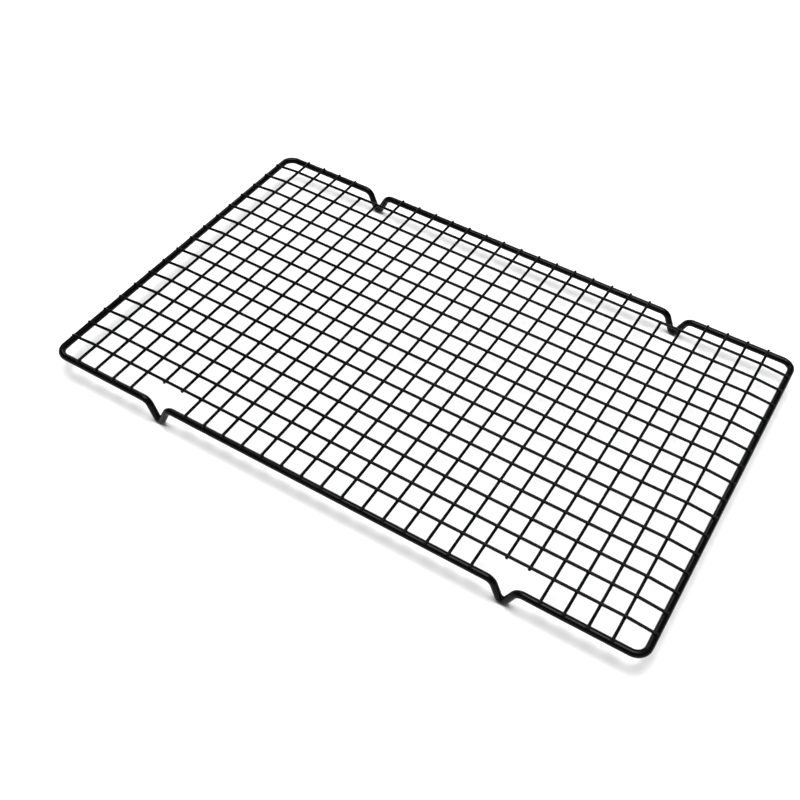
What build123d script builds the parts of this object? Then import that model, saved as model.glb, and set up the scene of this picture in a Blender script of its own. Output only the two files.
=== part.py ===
from build123d import *
from math import radians, sin, tan
import os

# A wire cooling rack, in millimetres. One thick wire is bent into the frame and its four
# feet, and thin cross wires and long wires are welded on top of it as a grid.
# X is the rack's length, Y its width and Z is up. The origin is on the table, under the
# middle of the rack.

# Sizes over the coating
rack_length = 400.0
rack_width = 256.0
frame_wire = 4.5
grid_wire = 1.9

# Grid
cross_wire_count = 27
cross_pitch = 13.85
long_wire_count = 16
long_pitch = 14.7

# Frame bends, measured at the wire's centre line
corner_radius = 7.5
shoulder_radius = 6.0
tip_radius = 2.6
leg_angle = radians(24.5)  # each leg of a foot, from the vertical
foot_drop = 13.0  # from the frame's centre line down to the centre line at the foot's tip

# A foot stands midway between two cross wires, which are cut short because the frame
# bends away from under them. Places are counted in cross wires from the middle one.
foot_place = 8.5
short_places = (-9, -8, 8, 9)

# Welds: how far one wire is pressed into the other
frame_weld = 0.7
grid_weld = 0.6

# Wire ends
end_rounding = 0.4
end_overhang = 1.0  # past the centre line of the frame wire they are welded to
short_overhang = 1.1  # past the centre line of the outermost long wire

# The long wires come down to the frame's short sides in one gentle slope
slope_start = 16.0  # before the frame wire's centre line
slope_end = 1.8
slope_radius = 15.0

# Places worked out from the sizes above
side_x = (rack_length - frame_wire) / 2
side_y = (rack_width - frame_wire) / 2
frame_z = frame_wire / 2 + foot_drop
cross_z = frame_z + frame_wire / 2 + grid_wire / 2 - frame_weld
long_z = cross_z + grid_wire - grid_weld
foot_x = foot_place * cross_pitch
leg_height = foot_drop + tip_radius * (1 / sin(leg_angle) - 1)
foot_half_width = leg_height * tan(leg_angle)
outer_long_y = (long_wire_count - 1) / 2 * long_pitch

os.makedirs("parts", exist_ok=True)


def save(piece, name):
    piece.part.label = name
    export_step(piece.part, f"parts/{name}.step")


def make_frame():
    # A quarter of the wire, from the middle of a long side to the middle of a short side
    with BuildPart() as frame:
        with BuildLine() as path:
            FilletPolyline(
                (0, -side_y, frame_z),
                (foot_x - foot_half_width, -side_y, frame_z),
                (foot_x, -side_y, frame_z - leg_height),
                (foot_x + foot_half_width, -side_y, frame_z),
                (side_x, -side_y, frame_z),
                (side_x, 0, frame_z),
                radius=(shoulder_radius, tip_radius, shoulder_radius, corner_radius),
            )
        with BuildSketch(Plane(origin=(0, -side_y, frame_z), z_dir=(1, 0, 0))):
            Circle(frame_wire / 2)
        sweep(path=path.line)
        mirror(about=Plane.YZ)
        mirror(about=Plane.XZ)
    return frame


def make_cross_wire(place, half_length):
    with BuildPart() as wire:
        x = place * cross_pitch
        with BuildSketch(Plane(origin=(x, 0, cross_z), z_dir=(0, 1, 0))):
            Circle(grid_wire / 2)
        extrude(amount=half_length, both=True)
        fillet(wire.edges().filter_by(GeomType.CIRCLE), radius=end_rounding)
        # It is pressed onto the frame's long sides
        with Locations((x, -side_y, frame_z), (x, side_y, frame_z)):
            Cylinder(frame_wire / 2, 3 * grid_wire, rotation=(0, 90, 0), mode=Mode.SUBTRACT)
    return wire


def make_long_wire(y):
    with BuildPart() as wire:
        with BuildLine() as path:
            FilletPolyline(
                (0, y, long_z),
                (side_x - slope_start, y, long_z),
                (side_x - slope_end, y, cross_z),
                (side_x + end_overhang, y, cross_z),
                radius=slope_radius,
            )
        with BuildSketch(Plane(origin=(0, y, long_z), z_dir=(1, 0, 0))):
            Circle(grid_wire / 2)
        sweep(path=path.line)
        fillet(wire.faces().sort_by(Axis.X)[-1].edges(), radius=end_rounding)
        mirror(about=Plane.YZ)
        # It is pressed onto every cross wire, and onto the frame's short sides
        with Locations((0, y, cross_z)):
            with GridLocations(cross_pitch, 0, cross_wire_count, 1):
                Cylinder(grid_wire / 2, 3 * grid_wire, rotation=(90, 0, 0), mode=Mode.SUBTRACT)
        with Locations((-side_x, y, frame_z), (side_x, y, frame_z)):
            Cylinder(frame_wire / 2, 3 * grid_wire, rotation=(90, 0, 0), mode=Mode.SUBTRACT)
    return wire


save(make_frame(), "frame")

# Cross wires are numbered from the left, the short ones apart from the full ones
middle_place = cross_wire_count // 2
full_count = 0
short_count = 0
for place in range(-middle_place, middle_place + 1):
    if place in short_places:
        short_count += 1
        save(make_cross_wire(place, outer_long_y + short_overhang), f"short_cross_wire_{short_count}")
    else:
        full_count += 1
        save(make_cross_wire(place, side_y + end_overhang), f"cross_wire_{full_count:02d}")

# Long wires are numbered from the front
for number in range(long_wire_count):
    y = number * long_pitch - outer_long_y
    save(make_long_wire(y), f"long_wire_{number + 1:02d}")
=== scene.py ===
import itertools
import math

import bpy
from mathutils import Matrix, Vector


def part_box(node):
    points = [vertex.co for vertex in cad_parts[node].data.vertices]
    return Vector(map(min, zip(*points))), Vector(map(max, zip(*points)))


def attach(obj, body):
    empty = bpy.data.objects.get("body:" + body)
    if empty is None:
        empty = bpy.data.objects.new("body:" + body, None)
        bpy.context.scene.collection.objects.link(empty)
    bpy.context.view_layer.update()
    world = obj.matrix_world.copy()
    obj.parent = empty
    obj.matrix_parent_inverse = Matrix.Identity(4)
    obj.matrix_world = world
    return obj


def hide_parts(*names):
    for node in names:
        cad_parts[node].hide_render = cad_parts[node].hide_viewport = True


# A black wire cooling rack on a pale table, in metres.
# The frame wire follows its bends, the grid wires and their welds are set out by node trees.

millimetre = 0.001

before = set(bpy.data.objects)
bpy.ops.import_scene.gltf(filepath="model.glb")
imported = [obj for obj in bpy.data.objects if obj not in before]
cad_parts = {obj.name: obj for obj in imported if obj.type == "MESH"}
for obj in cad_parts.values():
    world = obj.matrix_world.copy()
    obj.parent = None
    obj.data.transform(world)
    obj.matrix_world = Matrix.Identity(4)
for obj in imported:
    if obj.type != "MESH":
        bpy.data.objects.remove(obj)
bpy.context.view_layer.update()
scene = bpy.context.scene


class Signal:
    # An output socket that can be used in sums like a number

    def __init__(self, graph, socket):
        self.graph = graph
        self.socket = socket

    def math(self, operation, *others):
        values = {0: self, **dict(enumerate(others, 1))}
        return self.graph.node("ShaderNodeMath", {"operation": operation}, values)

    def __add__(self, other):
        return self.math("ADD", other)

    def __radd__(self, other):
        return self.math("ADD", other)

    def __sub__(self, other):
        return self.math("SUBTRACT", other)

    def __rsub__(self, other):
        return (self * -1.0) + other

    def __mul__(self, other):
        return self.math("MULTIPLY", other)

    def __rmul__(self, other):
        return self.math("MULTIPLY", other)

    def __truediv__(self, other):
        return self.math("DIVIDE", other)

    def __rtruediv__(self, other):
        return self.math("POWER", -1.0) * other

    def ramp(self, low, high, atLow=0.0, atHigh=1.0):
        # A smooth step between two values
        settings = {"interpolation_type": "SMOOTHSTEP", "clamp": True}
        levels = {"Value": self, "From Min": low, "From Max": high, "To Min": atLow, "To Max": atHigh}
        return self.graph.node("ShaderNodeMapRange", settings, levels)


class Graph:
    # A node tree, with one way to make a node of any kind

    def __init__(self, tree):
        self.tree = tree

    def node(self, kind, settings=None, inputs=None, output=0):
        made = self.tree.nodes.new(kind)
        for name, value in (settings or {}).items():
            setattr(made, name, value)
        for name, value in (inputs or {}).items():
            self.feed(made.inputs[name], value)
        return Signal(self, made.outputs[output])

    def feed(self, socket, value):
        if isinstance(value, Signal):
            self.tree.links.new(value.socket, socket)
        else:
            socket.default_value = value

    def mix(self, factor, first, second):
        settings = {"data_type": "RGBA"}
        return self.node("ShaderNodeMix", settings, {0: factor, 6: first, 7: second}, output=2)


def newGeometryTree(name, sockets):
    # sockets is a list of (name, socket type); each becomes a named input
    tree = bpy.data.node_groups.new(name, "GeometryNodeTree")
    tree.is_modifier = True
    tree.interface.new_socket("Geometry", in_out="INPUT", socket_type="NodeSocketGeometry")
    tree.interface.new_socket("Geometry", in_out="OUTPUT", socket_type="NodeSocketGeometry")
    for socketName, socketType in sockets:
        tree.interface.new_socket(socketName, in_out="INPUT", socket_type=socketType)
    graph = Graph(tree)
    entry = tree.nodes.new("NodeGroupInput")
    given = {socket.name: Signal(graph, socket) for socket in entry.outputs if socket.name}
    return graph, given


def endTree(graph, geometry, material):
    # Every tree ends in one real mesh with its material
    whole = graph.node("GeometryNodeRealizeInstances", None, {"Geometry": geometry})
    dressed = graph.node("GeometryNodeSetMaterial", None, {"Geometry": whole, "Material": material})
    graph.feed(graph.tree.nodes.new("NodeGroupOutput").inputs["Geometry"], dressed)


def runTree(source, graph, values, name):
    # Runs the tree on the source object and keeps the result as one plain mesh
    modifier = source.modifiers.new("shape", "NODES")
    modifier.node_group = graph.tree
    for item in graph.tree.interface.items_tree:
        if item.in_out == "INPUT" and item.name in values:
            modifier[item.identifier] = values[item.name]
    evaluated = source.evaluated_get(bpy.context.evaluated_depsgraph_get())
    mesh = bpy.data.meshes.new_from_object(evaluated)
    mesh.name = name
    piece = bpy.data.objects.new(name, mesh)
    scene.collection.objects.link(piece)
    bpy.data.objects.remove(source)
    return piece


def roundedPath(corners, radii, closed, turnStep=math.radians(6)):
    # A polyline with its corners turned into arcs; an open path keeps its two ends
    count = len(corners)
    points = []
    for number, corner in enumerate(corners):
        if not closed and number in (0, count - 1):
            points.append(corner.copy())
            continue
        towardsLast = (corners[number - 1] - corner).normalized()
        towardsNext = (corners[(number + 1) % count] - corner).normalized()
        halfAngle = towardsLast.angle(towardsNext) / 2
        radius = radii[number]
        centre = corner + (towardsLast + towardsNext).normalized() * radius / math.sin(halfAngle)
        start = corner + towardsLast * radius / math.tan(halfAngle) - centre
        end = corner + towardsNext * radius / math.tan(halfAngle) - centre
        turn = start.angle(end)
        steps = max(2, math.ceil(turn / turnStep))
        for step in range(steps + 1):
            part = turn * step / steps
            points.append(centre + (start * math.sin(turn - part) + end * math.sin(part)) / math.sin(turn))
    return points


def newCurve(name, points, closed=False, radii=None):
    curve = bpy.data.curves.new(name, "CURVE")
    curve.dimensions = "3D"
    spline = curve.splines.new("POLY")
    spline.points.add(len(points) - 1)
    for number, point in enumerate(points):
        spline.points[number].co = (*point, 1.0)
        spline.points[number].radius = radii[number] if radii else 1.0
    spline.use_cyclic_u = closed
    made = bpy.data.objects.new(name, curve)
    scene.collection.objects.link(made)
    return made


def newMesh(name, vertices, faces=()):
    mesh = bpy.data.meshes.new(name)
    mesh.from_pydata([tuple(v) for v in vertices], [], [tuple(f) for f in faces])
    made = bpy.data.objects.new(name, mesh)
    scene.collection.objects.link(made)
    return made


def middle(node):
    low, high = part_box(node)
    return (low + high) / 2


# The black non-stick coating
coatingLook = {
    "black": (0.0010, 0.0010, 0.0011, 1.0),
    "greyer": (0.0020, 0.0020, 0.0021, 1.0),
    "rubbed": (0.07, 0.068, 0.065, 1.0),
    "patchSize": 0.018,
    "grainSize": 0.00045,
    "peelSize": 0.0011,
    "patchRange": (0.35, 0.65),
    "scuffSize": 0.003,
    "scuffRange": (0.60, 0.72),
    "scuffRoughness": 0.08,
    "roughness": 0.20,
    "roughnessSpread": 0.07,
    "rubHeight": 0.0007,  # how far up a foot's tip the coating is rubbed
    "rubRange": (0.3, 0.6),
    "rubCover": 0.8,
    "rubRoughness": 0.2,
    "ior": 1.17,
    "bumpStrength": 0.28,
    "bumpDistance": 0.04 * millimetre,
    "peelShare": 0.7,  # the rest of the relief is grain
}


def makeCoating(look):
    material = bpy.data.materials.new("blackNonstickCoating")
    material.use_nodes = True
    graph = Graph(material.node_tree)
    shader = material.node_tree.nodes["Principled BSDF"]
    place = graph.node("ShaderNodeTexCoord", output="Object")
    height = graph.node("ShaderNodeSeparateXYZ", None, {0: place}, output="Z")

    def noise(size, detail, roughness=0.5):
        sizes = {"Vector": place, "Scale": 1.0 / size, "Detail": detail, "Roughness": roughness}
        return graph.node("ShaderNodeTexNoise", {"noise_dimensions": "3D"}, sizes)

    patches = noise(look["patchSize"], 3.0)
    grain = noise(look["grainSize"], 2.0)
    peel = noise(look["peelSize"], 1.0)
    scuffs = noise(look["scuffSize"], 6.0, 0.75).ramp(*look["scuffRange"])

    tint = graph.mix(patches.ramp(*look["patchRange"]), look["black"], look["greyer"])
    rub = height.ramp(look["rubHeight"] * 0.25, look["rubHeight"], 1.0, 0.0) * grain.ramp(*look["rubRange"])
    tint = graph.mix(rub * look["rubCover"], tint, look["rubbed"])
    graph.feed(shader.inputs["Base Color"], tint)

    spread = look["roughnessSpread"]
    rough = look["roughness"] + (patches - 0.5) * spread + (grain - 0.5) * spread
    rough = rough + scuffs * look["scuffRoughness"] + rub * look["rubRoughness"]
    graph.feed(shader.inputs["Roughness"], rough)
    shader.inputs["Metallic"].default_value = 0.0
    shader.inputs["IOR"].default_value = look["ior"]

    relief = peel * look["peelShare"] + grain * (1.0 - look["peelShare"])
    bump = graph.node("ShaderNodeBump", None, {
        "Strength": look["bumpStrength"], "Distance": look["bumpDistance"], "Height": relief,
    })
    graph.feed(shader.inputs["Normal"], bump)
    return material


coating = makeCoating(coatingLook)
print("coating ready")


# The thick wire with its four feet
frameWireShape = {
    "wireRadius": 2.25 * millimetre,
    "sides": 28,
    "cornerRadius": 7.5 * millimetre,
    "shoulderRadius": 6.0 * millimetre,
    "tipRadius": 2.6 * millimetre,
    "legAngle": math.radians(24.5),  # each leg, from the vertical
}


def footPlaces():
    # Each foot stands midway between a pair of short cross wires
    left = (middle("short_cross_wire_1").x + middle("short_cross_wire_2").x) / 2
    right = (middle("short_cross_wire_3").x + middle("short_cross_wire_4").x) / 2
    return left, right


def frameWirePath(shape):
    low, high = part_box("frame")
    radius = shape["wireRadius"]
    level = high.z - radius
    legHeight = level - low.z - radius + shape["tipRadius"] * (1 / math.sin(shape["legAngle"]) - 1)
    halfFoot = legHeight * math.tan(shape["legAngle"])
    corners, radii = [], []
    # Along the front from the left, then back along the other side
    for y, ends, feet in (
        (low.y + radius, (low.x + radius, high.x - radius), footPlaces()),
        (high.y - radius, (high.x - radius, low.x + radius), footPlaces()[::-1]),
    ):
        ahead = 1 if ends[1] > ends[0] else -1
        corners.append(Vector((ends[0], y, level)))
        radii.append(shape["cornerRadius"])
        for foot in feet:
            corners.append(Vector((foot - ahead * halfFoot, y, level)))
            corners.append(Vector((foot, y, level - legHeight)))
            corners.append(Vector((foot + ahead * halfFoot, y, level)))
            radii += [shape["shoulderRadius"], shape["tipRadius"], shape["shoulderRadius"]]
        corners.append(Vector((ends[1], y, level)))
        radii.append(shape["cornerRadius"])
    return roundedPath(corners, radii, closed=True)


def sweepTree():
    # A round wire along the curve that the tree is given
    graph, given = newGeometryTree("sweepWire", [
        ("Wire Radius", "NodeSocketFloat"), ("Sides", "NodeSocketInt"), ("Material", "NodeSocketMaterial"),
    ])
    profile = graph.node("GeometryNodeCurvePrimitiveCircle", None,
                         {"Resolution": given["Sides"], "Radius": given["Wire Radius"]})
    tube = graph.node("GeometryNodeCurveToMesh", None,
                      {"Curve": given["Geometry"], "Profile Curve": profile, "Fill Caps": True})
    endTree(graph, tube, given["Material"])
    return graph


framePath = newCurve("framePath", frameWirePath(frameWireShape), closed=True)
frameWire = runTree(framePath, sweepTree(), {
    "Wire Radius": frameWireShape["wireRadius"], "Sides": frameWireShape["sides"], "Material": coating,
}, "frameWire")
print("frame wire:", len(frameWire.data.polygons), "faces")


# The thin wires, each layer as one mesh
gridWireShape = {
    "sides": 16,
    "endRounding": 0.4 * millimetre,
    "pointStep": 9.0 * millimetre,
    "slopeStart": 16.0 * millimetre,  # from the frame wire's centre line
    "slopeEnd": 1.8 * millimetre,
    "slopeRadius": 15.0 * millimetre,
    "wander": 0.11 * millimetre,  # how far a wire strays sideways
    "wanderLength": 60.0 * millimetre,
    "wireSpacing": 7.3,  # between two wires in the noise that makes them stray
    "crossSeed": 4,
    "longSeed": 11,
}


def spacedOut(points, step):
    # Adds points along the straight runs
    dense = [points[0]]
    for start, end in zip(points, points[1:]):
        count = max(1, round((end - start).length / step))
        dense += [start.lerp(end, part / count) for part in range(1, count + 1)]
    return dense


def withRoundEnds(points, wireRadius, rounding, steps=4):
    # Points and point radii, with a quarter circle taken off each end's edge
    firstAway = (points[1] - points[0]).normalized()
    lastAway = (points[-2] - points[-1]).normalized()
    startPoints, endPoints, narrow = [], [], []
    for step in range(steps):
        angle = math.pi / 2 * step / steps
        inset = rounding * (1 - math.cos(angle))
        startPoints.append(points[0] + firstAway * inset)
        endPoints.append(points[-1] + lastAway * inset)
        narrow.append((wireRadius - rounding + rounding * math.sin(angle)) / wireRadius)
    inner = [points[0] + firstAway * rounding] + points[1:-1] + [points[-1] + lastAway * rounding]
    return startPoints + inner + endPoints[::-1], narrow + [1.0] * len(inner) + narrow[::-1]


def wireRowTree(shape):
    # One wire pattern set at every place, each copy straying a little in its own way
    graph, given = newGeometryTree("wireRow", [
        ("Pattern", "NodeSocketObject"), ("Wire Radius", "NodeSocketFloat"), ("Sides", "NodeSocketInt"),
        ("Wander", "NodeSocketFloat"), ("Seed", "NodeSocketInt"), ("Material", "NodeSocketMaterial"),
    ])
    pattern = graph.node("GeometryNodeObjectInfo", {"transform_space": "ORIGINAL"},
                         {"Object": given["Pattern"]}, output="Geometry")
    copies = graph.node("GeometryNodeInstanceOnPoints", None,
                        {"Points": given["Geometry"], "Instance": pattern})
    index = graph.node("GeometryNodeInputIndex")
    numbered = graph.node("GeometryNodeStoreNamedAttribute", {"domain": "INSTANCE", "data_type": "FLOAT"},
                          {"Geometry": copies, "Name": "wireNumber", "Value": index})
    curves = graph.node("GeometryNodeRealizeInstances", None, {"Geometry": numbered})
    number = graph.node("GeometryNodeInputNamedAttribute", {"data_type": "FLOAT"}, {"Name": "wireNumber"})
    place = graph.node("GeometryNodeInputPosition")
    stray = graph.node("ShaderNodeTexNoise", {"noise_dimensions": "4D"}, {
        "Vector": place, "W": number * shape["wireSpacing"] + given["Seed"],
        "Scale": 1.0 / shape["wanderLength"], "Detail": 1.0,
    }, output="Color")
    centred = graph.node("ShaderNodeVectorMath", {"operation": "SUBTRACT"}, {0: stray, 1: (0.5, 0.5, 0.5)})
    level = graph.node("ShaderNodeVectorMath", {"operation": "MULTIPLY"}, {0: centred, 1: (2.0, 2.0, 0.0)})
    offset = graph.node("ShaderNodeVectorMath", {"operation": "SCALE"}, {0: level, "Scale": given["Wander"]})
    strayed = graph.node("GeometryNodeSetPosition", None, {"Geometry": curves, "Offset": offset})
    profile = graph.node("GeometryNodeCurvePrimitiveCircle", None,
                         {"Resolution": given["Sides"], "Radius": given["Wire Radius"]})
    inputs = {"Curve": strayed, "Profile Curve": profile, "Fill Caps": True}
    inputs["Scale"] = graph.node("GeometryNodeInputRadius")
    tubes = graph.node("GeometryNodeCurveToMesh", None, inputs)
    endTree(graph, tubes, given["Material"])
    return graph


def wireRow(name, nodes, points, shape, wireRadius, seed):
    # The pattern lies around its own middle, and a place is a wire's middle
    path, narrow = withRoundEnds(spacedOut(points, shape["pointStep"]), wireRadius, shape["endRounding"])
    pattern = newCurve(name + "Pattern", path, radii=narrow)
    places = newMesh(name + "Places", [Vector((middle(node).x, middle(node).y, 0.0)) for node in nodes])
    row = runTree(places, wireRowTree(shape), {
        "Pattern": pattern, "Wire Radius": wireRadius, "Sides": shape["sides"],
        "Wander": shape["wander"], "Seed": seed, "Material": coating,
    }, name)
    bpy.data.objects.remove(pattern)
    return row


def joined(name, pieces):
    # One mesh from several
    vertices, faces = [], []
    for piece in pieces:
        start = len(vertices)
        vertices += [v.co.copy() for v in piece.data.vertices]
        faces += [[start + v for v in polygon.vertices] for polygon in piece.data.polygons]
    made = newMesh(name, vertices, faces)
    made.data.materials.append(coating)
    for piece in pieces:
        bpy.data.objects.remove(piece)
    return made


longNodes = sorted(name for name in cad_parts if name.startswith("long_wire"))
crossNodes = sorted(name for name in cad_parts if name.startswith("cross_wire"))
shortNodes = sorted(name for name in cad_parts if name.startswith("short_cross_wire"))
crossLow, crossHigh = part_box(crossNodes[0])
shortLow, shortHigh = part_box(shortNodes[0])
longLow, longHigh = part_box(longNodes[0])
wireRadius = (crossHigh.x - crossLow.x) / 2
crossLevel = crossHigh.z - wireRadius
longLevel = longHigh.z - wireRadius
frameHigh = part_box("frame")[1]
sideX = frameHigh.x - frameWireShape["wireRadius"]
sideY = frameHigh.y - frameWireShape["wireRadius"]

fullCross = wireRow("fullCrossWires", crossNodes, [
    Vector((0, crossLow.y, crossLevel)), Vector((0, crossHigh.y, crossLevel)),
], gridWireShape, wireRadius, gridWireShape["crossSeed"])
shortCross = wireRow("shortCrossWires", shortNodes, [
    Vector((0, shortLow.y, crossLevel)), Vector((0, shortHigh.y, crossLevel)),
], gridWireShape, wireRadius, gridWireShape["crossSeed"] + 1)
crossWires = joined("crossWires", [fullCross, shortCross])

slopeTop = sideX - gridWireShape["slopeStart"]
slopeFoot = sideX - gridWireShape["slopeEnd"]
slopeRadii = [0.0] + [gridWireShape["slopeRadius"]] * 4 + [0.0]
longWires = wireRow("longWires", longNodes, roundedPath([
    Vector((longLow.x, 0, crossLevel)), Vector((-slopeFoot, 0, crossLevel)),
    Vector((-slopeTop, 0, longLevel)), Vector((slopeTop, 0, longLevel)),
    Vector((slopeFoot, 0, crossLevel)), Vector((longHigh.x, 0, crossLevel)),
], slopeRadii, closed=False), gridWireShape, wireRadius, gridWireShape["longSeed"])
print("grid wires:", len(crossWires.data.polygons) + len(longWires.data.polygons), "faces")


# Welds between the thin wires, and between them and the frame wire
gridWeldShape = {
    "fillet": 0.8 * millimetre,
    "reach": 1.75 * millimetre,
    "endsAlong": "Y",  # a short wire ends just past its last weld
    "sideLimit": 1.05 * millimetre,
    "sizeSpread": 0.16,
    "seed": 23,
}

frameWeldShape = {
    "fillet": 0.95 * millimetre,
    "reach": 2.4 * millimetre,
    "endsAlong": "X",
    "sideLimit": 0.95 * millimetre,
    "sizeSpread": 0.12,
    "seed": 31,
}


webMesh = {
    "turns": (14, 45, 76),  # degrees, in each quarter
    "tilts": (-52, -20, 20, 52),
    "marchStep": 0.01 * millimetre,
    "skin": 0.006 * millimetre,  # a web's ends stay this far inside the wires that it joins
}


def weldWeb(name, upperRadius, lowerRadius, rise, shape):
    # The coated fillet where an upper wire along X is pressed onto a lower wire along Y, around
    # the point where they meet. rise is the height between the two centre lines. A wire may end
    # just past the weld, so the web keeps within a side limit there.
    contact = rise * lowerRadius / (upperRadius + lowerRadius)
    upperZ, lowerZ = rise - contact, -contact

    def depth(point):
        upper = math.hypot(point.y, point.z - upperZ) - upperRadius
        lower = math.hypot(point.x, point.z - lowerZ) - lowerRadius
        blend = max(shape["fillet"] - abs(upper - lower), 0.0) / shape["fillet"]
        return min(upper, lower) - blend * blend * shape["fillet"] / 4 + webMesh["skin"]

    def inLimit(point):
        if shape["endsAlong"] == "X":
            return point.x < shape["sideLimit"]
        return abs(point.y) < shape["sideLimit"]

    def edge(direction):
        length = 0.0
        step = webMesh["marchStep"]
        while length < shape["reach"] and inLimit(direction * length):
            if depth(direction * (length + step)) >= 0:
                break
            length += step
        return direction * length

    def aimed(turn, tilt):
        flat = math.cos(tilt)
        return Vector((math.cos(turn) * flat, math.sin(turn) * flat, math.sin(tilt)))

    turns = [math.radians(quarter + turn) for quarter in (0, 90, 180, 270) for turn in webMesh["turns"]]
    tilts = [math.radians(tilt) for tilt in webMesh["tilts"]]
    rings = [[edge(aimed(turn, tilt)) for turn in turns] for tilt in tilts]
    vertices = [edge(Vector((0, 0, -1)))] + [v for ring in rings for v in ring] + [edge(Vector((0, 0, 1)))]
    count = len(turns)
    faces = [(0, 1 + (n + 1) % count, 1 + n) for n in range(count)]
    for ring, n in itertools.product(range(len(tilts) - 1), range(count)):
        start = 1 + ring * count
        ahead = (n + 1) % count
        faces.append((start + n, start + ahead, start + count + ahead, start + count + n))
    last = len(vertices) - 1
    faces += [(last, last - count + n, last - count + (n + 1) % count) for n in range(count)]
    return newMesh(name, vertices, faces)


def weldTree():
    # The same weld at every place, turned to its wires and a little different in size. None is
    # larger than its pattern, which just fits inside the wires at its ends.
    graph, given = newGeometryTree("weldScatter", [
        ("Weld", "NodeSocketObject"), ("Turn", "NodeSocketFloat"), ("Size Spread", "NodeSocketFloat"),
        ("Seed", "NodeSocketInt"), ("Material", "NodeSocketMaterial"),
    ])
    weld = graph.node("GeometryNodeObjectInfo", {"transform_space": "ORIGINAL"},
                      {"Object": given["Weld"]}, output="Geometry")
    turned = graph.node("ShaderNodeCombineXYZ", None, {"Z": given["Turn"]})
    size = graph.node("FunctionNodeRandomValue", {"data_type": "FLOAT"}, {
        "Min": 1.0 - given["Size Spread"], "Max": 1.0, "Seed": given["Seed"],
    }, output=1)
    copies = graph.node("GeometryNodeInstanceOnPoints", None, {
        "Points": given["Geometry"], "Instance": weld, "Rotation": turned, "Scale": size,
    })
    endTree(graph, copies, given["Material"])
    return graph


def weldRow(name, web, places, turn, shape):
    return runTree(newMesh(name + "Places", places), weldTree(), {
        "Weld": web, "Turn": turn, "Size Spread": shape["sizeSpread"], "Seed": shape["seed"],
        "Material": coating,
    }, name)


def meeting(lowerLevel, lowerRadius, upperLevel, upperRadius):
    # The height at which a weld's web is centred
    return lowerLevel + (upperLevel - lowerLevel) * lowerRadius / (upperRadius + lowerRadius)


crossX = [middle(node).x for node in crossNodes]
shortX = [middle(node).x for node in shortNodes]
longY = [middle(node).y for node in longNodes]
frameRadius = frameWireShape["wireRadius"]
frameLevel = frameHigh.z - frameRadius

gridWeb = weldWeb("gridWeb", wireRadius, wireRadius, longLevel - crossLevel, gridWeldShape)
gridZ = meeting(crossLevel, wireRadius, longLevel, wireRadius)
gridWelds = weldRow("gridWelds", gridWeb, [
    Vector((x, y, gridZ)) for x, y in itertools.product(sorted(crossX + shortX), longY)
], 0.0, gridWeldShape)
bpy.data.objects.remove(gridWeb)

frameWeb = weldWeb("frameWeb", wireRadius, frameRadius, crossLevel - frameLevel, frameWeldShape)
frameZ = meeting(frameLevel, frameRadius, crossLevel, wireRadius)
frameWelds = joined("frameWelds", [
    weldRow(name, frameWeb, places, turn, frameWeldShape) for name, places, turn in (
        ("rightWelds", [Vector((sideX, y, frameZ)) for y in longY], 0.0),
        ("backWelds", [Vector((x, sideY, frameZ)) for x in crossX], math.pi / 2),
        ("leftWelds", [Vector((-sideX, y, frameZ)) for y in longY], math.pi),
        ("frontWelds", [Vector((x, -sideY, frameZ)) for x in crossX], -math.pi / 2),
    )
])
bpy.data.objects.remove(frameWeb)
print("welds:", len(gridWelds.data.polygons) + len(frameWelds.data.polygons), "faces")


# Each piece with the CAD nodes that it stands for
rackPieces = {
    "frameWire": (frameWire, ["frame"]),
    "crossWires": (crossWires, crossNodes + shortNodes),
    "longWires": (longWires, longNodes),
    "gridWelds": (gridWelds, []),
    "frameWelds": (frameWelds, []),
}
for piece, nodes in rackPieces.values():
    for polygon in piece.data.polygons:
        polygon.use_smooth = True
    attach(piece, "root")
    if nodes:
        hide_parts(*nodes)


tableLook = {"halfSize": 4.0, "colour": (0.93, 0.93, 0.93, 1.0), "roughness": 0.9, "specular": 0.2}
lightLook = {
    # each soft lamp: place, diameter, power
    "overhead": ((-0.3, 0.2, 5.0), 3.7, 376.0),
    "backLeft": ((-3.0, 3.6, 3.4), 1.6, 60.0),
    "skyStrength": 0.14,
    "horizonStrength": 0.85,
    "horizonGlow": 0.36,  # how high the horizon's brightness reaches, 1 is straight up
}
cameraLook = {
    "azimuth": math.radians(28.29),
    "elevation": math.radians(47.36),
    "roll": math.radians(3.91),
    "place": (0.2170, -0.4415, 0.5085),
    "lens": 49.33,
    "sensorWidth": 36.0,
    "clipStart": 0.01,
}


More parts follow.
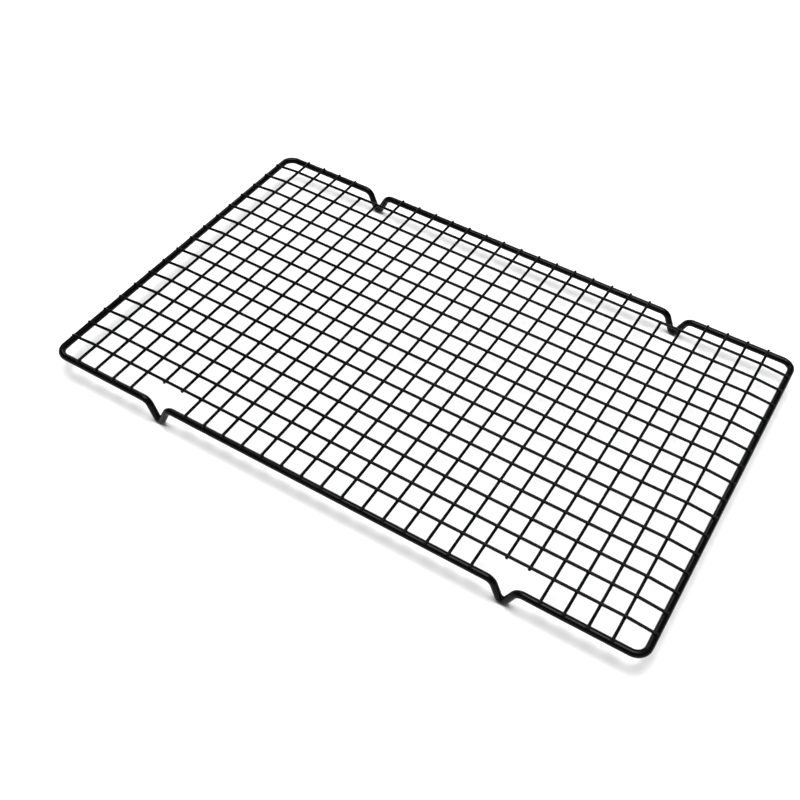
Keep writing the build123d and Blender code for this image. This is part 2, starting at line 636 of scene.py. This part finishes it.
def makeTable(look):
    half = look["halfSize"]
    corners = [(-half, -half, 0), (half, -half, 0), (half, half, 0), (-half, half, 0)]
    table = newMesh("table", corners, [(0, 1, 2, 3)])
    material = bpy.data.materials.new("paleTable")
    material.use_nodes = True
    shader = material.node_tree.nodes["Principled BSDF"]
    shader.inputs["Base Color"].default_value = look["colour"]
    shader.inputs["Roughness"].default_value = look["roughness"]
    shader.inputs["Specular IOR Level"].default_value = look["specular"]
    table.data.materials.append(material)


def makeLight(look):
    for name in ("overhead", "backLeft"):
        place, size, power = look[name]
        light = bpy.data.lights.new(name, "AREA")
        light.shape = "DISK"
        light.size = size
        light.energy = power
        lamp = bpy.data.objects.new(name, light)
        lamp.location = place
        lamp.rotation_euler = (-Vector(place)).to_track_quat("-Z", "Y").to_euler()
        scene.collection.objects.link(lamp)
    world = bpy.data.worlds.new("studio")
    world.use_nodes = True
    graph = Graph(world.node_tree)
    background = world.node_tree.nodes["Background"]
    background.inputs["Color"].default_value = (1.0, 1.0, 1.0, 1.0)
    direction = graph.node("ShaderNodeTexCoord", output="Generated")
    height = graph.node("ShaderNodeSeparateXYZ", None, {0: direction}, output="Z")
    glow = height.ramp(0.0, look["horizonGlow"], look["horizonStrength"], look["skyStrength"])
    graph.feed(background.inputs["Strength"], glow)
    scene.world = world


def makeCamera(look):
    azimuth, elevation, roll = look["azimuth"], look["elevation"], look["roll"]
    flat = math.cos(elevation)
    ahead = Vector((-math.sin(azimuth) * flat, math.cos(azimuth) * flat, -math.sin(elevation)))
    level = Vector((math.cos(azimuth), math.sin(azimuth), 0.0))
    upright = level.cross(ahead)
    right = level * math.cos(roll) + upright * math.sin(roll)
    up = right.cross(ahead)
    lensData = bpy.data.cameras.new("view")
    lensData.lens = look["lens"]
    lensData.sensor_width = look["sensorWidth"]
    lensData.clip_start = look["clipStart"]
    camera = bpy.data.objects.new("view", lensData)
    turned = Matrix((right, up, -ahead)).transposed().to_4x4()
    camera.matrix_world = Matrix.Translation(look["place"]) @ turned
    scene.collection.objects.link(camera)
    scene.camera = camera


makeTable(tableLook)
makeLight(lightLook)
makeCamera(cameraLook)
scene.view_settings.view_transform = "Standard"
print("table, light and camera ready")
